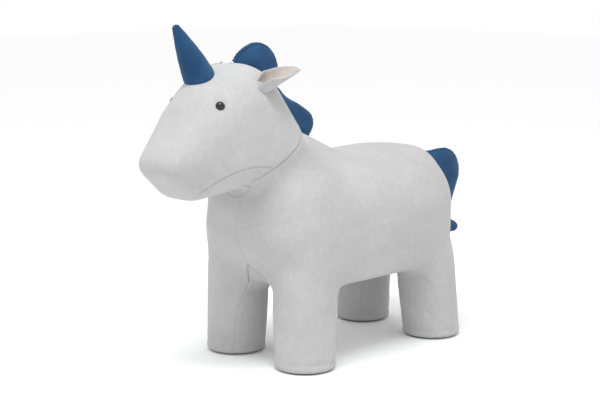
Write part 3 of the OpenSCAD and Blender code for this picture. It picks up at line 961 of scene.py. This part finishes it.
# %% Materials on the frame's nodes
FINISHES = [
    (pine_upright, ("leg_post_", "corner_blocks")),
    (pine_long, ("side_rail_", "neck_brace_")),
    (pine_cross, ("front_rail", "rear_rail")),
    (birch_ply, ("seat_deck", "belly_panel", "neck_board")),
    (screw_steel, ("deck_screws", "brace_screws", "glide_screws")),
    (glide_nylon, ("glide_front", "glide_rear", "eye_washers")),
]
for material, starts in FINISHES:
    for name, node in frame["nodes"].items():
        if name.startswith(starts):
            node.data.materials.clear()
            node.data.materials.append(material)

# %% [markdown]
# ## Eyes
# A safety eye is a turned dome with a shank behind it, which goes through the cloth.
# A sphere is cut below its middle, its cut face is inset and pulled out into the shank, and the sharp
# rim is bevelled. The same eye is then turned to face along the cheek's normal on either side.

# %% Eyes
EYE_SINK = 1.2 * MM
SHANK_R = 2 * MM
SHANK_L = 13 * MM


def eye(node, place, normal):
    bpy.ops.mesh.primitive_uv_sphere_add(segments=64, ring_count=32, radius=EYE_R, location=(0, 0, 0))
    dome = bpy.context.object
    dome.name = "domed_" + node
    edit_faces(dome, np.ones(len(dome.data.polygons), bool))
    bpy.ops.mesh.bisect(plane_co=(0, 0, -0.6 * MM), plane_no=(0, 0, 1), clear_inner=True, use_fill=True)
    leave_edit()
    edit_faces(dome, np.array([p.normal.z < -0.9 and p.area > 1e-5 for p in dome.data.polygons]))
    bpy.ops.mesh.inset(thickness=EYE_R - SHANK_R)
    bpy.ops.mesh.extrude_region_move(TRANSFORM_OT_translate={"value": (0, 0, -SHANK_L)})
    leave_edit()
    edit_edges(dome, lambda e: e.is_manifold and e.calc_face_angle() > math.radians(40))
    bpy.ops.mesh.bevel(offset=0.25 * MM, segments=3)
    leave_edit()
    turn = Vector(normal).to_track_quat("Z", "Y").to_matrix().to_4x4()
    seat = head_surface.ray_cast(Vector(place) + 0.03 * Vector(normal), -Vector(normal))[0]
    dome.data.transform(Matrix.Translation(seat - EYE_SINK * Vector(normal)) @ turn)
    select_only(dome)
    bpy.ops.object.shade_smooth_by_angle(angle=math.radians(30))
    dome.data.materials.append(eye_plastic)
    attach(dome, "body")
    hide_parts(node)
    return dome


eye("eye_left", EYE_PLACE, EYE_NORMAL)
eye("eye_right", mirrored(EYE_PLACE), mirrored(EYE_NORMAL))
print("eyes", 2 * EYE_R, "m across")

# %% [markdown]
# ## Horn
# The horn is a cone of cloth, stuffed until it is firm, so its sides bow out a little and its tip is
# round. It grows from a circle that is extruded ring by ring. Its seam runs up the back. The lowest
# rings are laid on the forehead, so that the hem follows the head all round.

# %% Horn sizes
HORN_LEAN = math.radians(30)
HORN_AXIS = Vector((0, -math.sin(HORN_LEAN), math.cos(HORN_LEAN)))
HORN_L = 0.112
HORN_R = 0.0305
HORN_TIP_R = 0.0055
HORN_SIDES = 72


def horn_radius(t):
    """The radius at a share t of the length: tucked in at the hem, bowed, then closing to the tip."""
    side = HORN_R - (HORN_R - HORN_TIP_R) * t + 2.6 * MM * math.sin(math.pi * t)
    tuck = 2.0 * MM * max(0, 1 - t / 0.06) ** 2
    return side - tuck


# %% Extrude the horn
bpy.ops.mesh.primitive_circle_add(vertices=HORN_SIDES, radius=horn_radius(0), location=(0, 0, 0))
horn = bpy.context.object
horn.name = "sewn_horn_cover"
edit_edges(horn, lambda edge: True)
shares = [0.015, 0.03, 0.05, 0.08, 0.12] + [0.12 + 0.83 * i / 22 for i in range(1, 23)]
height, radius = 0.0, horn_radius(0)
for share in shares:
    bpy.ops.mesh.extrude_region_move(TRANSFORM_OT_translate={"value": (0, 0, share * HORN_L - height)})
    scale = horn_radius(share) / radius
    bpy.ops.transform.resize(value=(scale, scale, 1))
    height, radius = share * HORN_L, horn_radius(share)
for angle in np.linspace(0, math.pi / 2, 6)[1:-1]:
    ring = horn_radius(0.95) * math.cos(angle)
    level = 0.95 * HORN_L + 0.05 * HORN_L * math.sin(angle)
    bpy.ops.mesh.extrude_region_move(TRANSFORM_OT_translate={"value": (0, 0, level - height)})
    bpy.ops.transform.resize(value=(ring / radius, ring / radius, 1))
    height, radius = level, ring
bpy.ops.mesh.extrude_region_move(TRANSFORM_OT_translate={"value": (0, 0, HORN_L - height)})
bpy.ops.mesh.merge(type="CENTER")
leave_edit()

# %% Seam up the back, and the slight unevenness of stuffing
at = points(horn)
around = np.arctan2(at[:, 0], at[:, 1])
out = np.stack([at[:, 0], at[:, 1], 0 * at[:, 0]], 1)
out /= np.maximum(np.linalg.norm(out, axis=1, keepdims=True), 1e-6)
arc = np.abs(around) * np.hypot(at[:, 0], at[:, 1])
sink = rolled(arc, 1.3 * MM, 1.6 * MM)
lump = 0.35 * MM * np.sin(3 * around + at[:, 2] * 90) * np.sin(at[:, 2] * 140)
set_points(horn, at - out * (sink - lump)[:, None])
# Painted shade in the seam up the back of the horn.
paint_groove_shade(horn, np.exp(-(arc / (1.4 * MM)) ** 2))
turn = HORN_AXIS.to_track_quat("Z", "Y").to_matrix().to_4x4()
horn.data.transform(Matrix.Translation(HORN_ROOT) @ turn)


# %% Lay the hem on the head
def lay_hem(piece, surface, root, axis, reach, tuck):
    """Slides points within reach of the root along the axis, so that the lowest meet the surface."""
    at = points(piece)
    up = (at - np.array(root)) @ np.array(axis)
    for index in np.nonzero(up < reach)[0]:
        foot = Vector(at[index] - np.array(axis) * up[index])
        hit = surface.ray_cast(foot + axis * reach, -axis)
        if hit[0] is None:
            continue
        drop = (foot - hit[0]).dot(axis) + tuck
        share = 1 - up[index] / reach
        at[index] -= np.array(axis) * drop * share
    set_points(piece, at)


lay_hem(horn, head_surface, HORN_ROOT, HORN_AXIS, 22 * MM, 1.2 * MM)
thicken(horn)
subdivide(horn)
finish_cloth(horn, blue_velour, body=None)
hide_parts("horn_cover")
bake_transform(horn)
print("horn:", len(horn.data.polygons), "faces")

# %% [markdown]
# ## Mane and tail
# Each lobe is two flat pieces of cloth sewn round the edge and stuffed, so it is a thick lens with a
# seam along its rim, and the seam puckers where it bends. The solids of the frame give the outline.
# They are remeshed, inflated by Cloth while the root is held, and stretched down to meet the body.

# %% A stuffed lobe
ROOT_REACH = 16 * MM
ROOT_GAP = 5.5 * MM
ROOT_DIP = 1.5 * MM
STITCH_IN = 6.2 * MM


def heights_over(surfaces, places):
    """The signed distance to the nearest of several surfaces, and that surface's normal there."""
    heights, normals = np.full(len(places), 1.0), np.zeros((len(places), 3))
    for surface in surfaces:
        for index, place in enumerate(places):
            foot, normal, _, away = surface.find_nearest(Vector(place))
            if away < abs(heights[index]):
                side = (Vector(place) - foot).dot(normal)
                heights[index] = math.copysign(away, side)
                normals[index] = normal
    return heights, normals


def reach_down(piece, surfaces):
    """Stretches the root, which the frame holds a gap away, until it dips into the nearest surface."""
    at = points(piece)
    height, normal = heights_over(surfaces, at)
    near = (height > 0) & (height < ROOT_REACH)
    share = np.clip((ROOT_REACH - height[near]) / (ROOT_REACH - ROOT_GAP), 0, 1)
    at[near] -= normal[near] * (share * (np.minimum(height[near], ROOT_GAP) + ROOT_DIP))[:, None]
    set_points(piece, at)


def sew_rim(piece, depth):
    """Cuts the seam along the rim, in the plane between the two sides, puckers it, sinks a line of
    topstitching beside it, and darkens both with painted shade.
    """
    slice_seam(piece, (0, 0, 0), (1, 0, 0), lambda at: np.abs(at[:, 0]) < 12 * MM)
    sides = np.where(face_centres(piece)[:, 0] > 0, 2, 3)
    line, _ = seam_samples(piece, sides)
    at = points(piece)
    distance, _ = nearest(line, at, 16 * MM)
    middle = at.mean(0)
    turn = np.arctan2(at[:, 2] - middle[2], at[:, 1] - middle[1])
    pucker = 0.32 * MM * np.sin(turn * 52 + np.sign(at[:, 0]) * 0.9) * np.exp(-(distance / (7 * MM)) ** 2)
    stitched = np.exp(-((distance - STITCH_IN) / (1.0 * MM)) ** 2)
    # Painted shade in the rim seam and along the sunk line of topstitching.
    paint_groove_shade(piece, np.exp(-(distance / (1.3 * MM)) ** 2) + 0.75 * stitched)
    sink = rolled(distance, depth, 1.5 * MM) + pucker + 0.9 * MM * stitched
    set_points(piece, at - point_normals(piece) * sink[:, None])


def redraw(piece, joint, rise, change):
    """Adjusts the outline, in terms of a point's place along the root and its height above it."""
    root, along, up = (np.array(v) for v in (joints[joint]["pos_m"], joints[joint]["axis"], rise))
    at = points(piece)
    s, h = (at - root) @ along, (at - root) @ up
    new_s, new_h = change(s, h)
    set_points(piece, at + (new_s - s)[:, None] * along + (new_h - h)[:, None] * up)


def lean_forward(s, h):
    """The front lobe's first corner runs further down the forehead."""
    share = np.clip(-s / 0.035, 0, 1) * np.clip(1 - h / 0.04, 0, 1)
    return s - 7 * MM * share, h - 12 * MM * share


def slim_start(s, h):
    """The rear lobe starts slim and swells towards the shoulder."""
    t = (s - s.min()) / (s.max() - s.min())
    return s, h * (1 - 0.25 * np.exp(-((t - 0.30) / 0.18) ** 2) * (h > 0))


STUFFING_BACK = 3.4 * MM


def stuff(cover, node):
    """Lumpy stuffing that keeps inside a finished cover."""
    fibre = bpy.data.objects.new("fibre_" + node, cover.data.copy())
    bpy.context.scene.collection.objects.link(fibre)
    voxel_remesh(fibre, 3 * MM)
    at = points(fibre)
    wave = np.sin(at[:, 0] * 260) * np.sin(at[:, 1] * 230) * np.sin(at[:, 2] * 250)
    set_points(fibre, at - point_normals(fibre) * (STUFFING_BACK + 0.4 * MM * wave)[:, None])
    edit_faces(fibre, np.ones(len(fibre.data.polygons), bool))
    bpy.ops.mesh.vertices_smooth(factor=0.5, repeat=4)
    leave_edit()
    finish_cloth(fibre, stuffing, body=None)
    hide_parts(node)
    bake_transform(fibre)


def lobe(name, nodes, surfaces, joint, rise, voxel=3 * MM, change=None):
    piece = voxel_remesh(copy_of(name, nodes), voxel)
    piece = keep_largest(piece)
    piece.name = name
    edit_faces(piece, np.ones(len(piece.data.polygons), bool))
    bpy.ops.mesh.vertices_smooth(factor=0.5, repeat=8)
    leave_edit()
    height, _ = heights_over(surfaces, points(piece))
    inflate(piece, 4.0, 2.0 * MM, held=height < ROOT_GAP + 4 * MM)
    if change:
        redraw(piece, joint, rise, change)
    reach_down(piece, surfaces)
    subdivide(piece, 2)
    sew_rim(piece, 1.6 * MM)
    finish_cloth(piece, blue_velour, body=None)
    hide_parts(nodes[0])
    stuff(piece, nodes[1])
    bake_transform(piece)
    print(piece.name, len(piece.data.polygons), "faces")
    return piece


lobe("sewn_mane_front_cover", ["mane_front_cover", "mane_front_filling"], [head_surface],
     "mane_front_flop", (0, 0.5, 0.866), change=lean_forward)
lobe("sewn_mane_rear_cover", ["mane_rear_cover", "mane_rear_filling"], [head_surface, trunk_surface],
     "mane_rear_flop", (0, 0.6712, 0.7413), change=slim_start)
lobe("sewn_tail_cover", ["tail_cover", "tail_filling"], [trunk_surface],
     "tail_swing", (0, 1, 0), voxel=3.6 * MM)

# %% [markdown]
# ## Ears
# An ear is a leaf of velour with a lining, folded at its root so that it stays cupped. It starts as a
# flat grid. One formula gives the leaf its width, rolls it round a curve that opens towards the tip,
# and leans it back. The lining is the same leaf, a little narrower, laid inside.

# %% The shape of an ear
EAR_UP = Vector((0.32, 0.763, 0.562)).normalized()
EAR_FRONT = Vector((0.1, -0.616, 0.782)).normalized()
EAR_SIDE = EAR_UP.cross(EAR_FRONT).normalized()
EAR_L = 0.066
EAR_HALF = 0.0225
LEAF_V = [-0.15, 0.0, 0.12, 0.3, 0.5, 0.7, 0.85, 0.94, 1.0]
LEAF_W = [0.56, 0.72, 0.85, 0.97, 1.0, 0.87, 0.66, 0.44, 0.14]
ROLL_V = [-0.15, 0.0, 0.14, 0.28, 0.5, 1.0]
ROLL_DEG = [150, 132, 104, 84, 66, 30]


def leaf_point(u, v, narrow, lift):
    """A point of the ear for u from -1 to 1 across and v from the root to the tip."""
    half = EAR_HALF * np.interp(v, LEAF_V, LEAF_W)
    roll = math.radians(np.interp(v, ROLL_V, ROLL_DEG))
    radius = half / math.sin(min(roll, math.pi / 2)) - lift
    side = radius * math.sin(u * roll * narrow)
    front = radius * (1 - math.cos(u * roll * narrow)) + lift - 5 * MM - 5 * MM * v * v
    return side * EAR_SIDE + front * EAR_FRONT + EAR_L * v * EAR_UP


def sewn_down(place, v):
    """Pulls a point near the root on to the head, if it stands off."""
    found, normal, _, away = head_surface.find_nearest(place)
    if (place - found).dot(normal) < 0:
        return place
    share = min(1, max(0, (0.10 - v) / 0.22))
    return place.lerp(found - 1.5 * MM * normal, share)


def leaf(name, narrow, lift, top, thickness, mirror):
    bpy.ops.mesh.primitive_grid_add(x_subdivisions=28, y_subdivisions=36, size=1, location=(0, 0, 0))
    piece = bpy.context.object
    piece.name = name
    for vertex in piece.data.vertices:
        u = 2 * vertex.co.x
        v = -0.15 + (top + 0.15) * (vertex.co.y + 0.5)
        place = sewn_down(EAR_ROOT + Vector(leaf_point(u, v, narrow, lift)), v)
        vertex.co = mirrored(place) if mirror else place
    select_only(piece)
    edit_faces(piece, np.ones(len(piece.data.polygons), bool))
    bpy.ops.mesh.vertices_smooth(factor=0.5, repeat=2)
    bpy.ops.mesh.normals_make_consistent(inside=False)
    leave_edit()
    facing = (point_normals(piece).mean(0)) @ np.array(mirrored(EAR_FRONT) if mirror else EAR_FRONT)
    if facing < 0:
        piece.data.flip_normals()
    apply_modifier(piece, "SOLIDIFY", thickness=thickness, offset=-1, use_even_offset=True)
    edit_edges(piece, lambda e: e.is_manifold and e.calc_face_angle() > math.radians(50))
    bpy.ops.mesh.bevel(offset=0.35 * thickness, segments=3)
    leave_edit()
    return subdivide(piece)


def ear(side_name, mirror):
    outer = leaf("sewn_ear_" + side_name, 1.0, 0.0, 1.0, 3.0 * MM, mirror)
    finish_cloth(outer, white_velour, body=None)
    inner = leaf("sewn_ear_lining_" + side_name, 0.86, 1.4 * MM, 0.94, 1.2 * MM, mirror)
    finish_cloth(inner, ear_lining_cloth, body=None)
    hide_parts("ear_" + side_name)
    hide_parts("ear_lining_" + side_name)
    for piece in (outer, inner):
        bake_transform(piece)


ear("left", False)
ear("right", True)
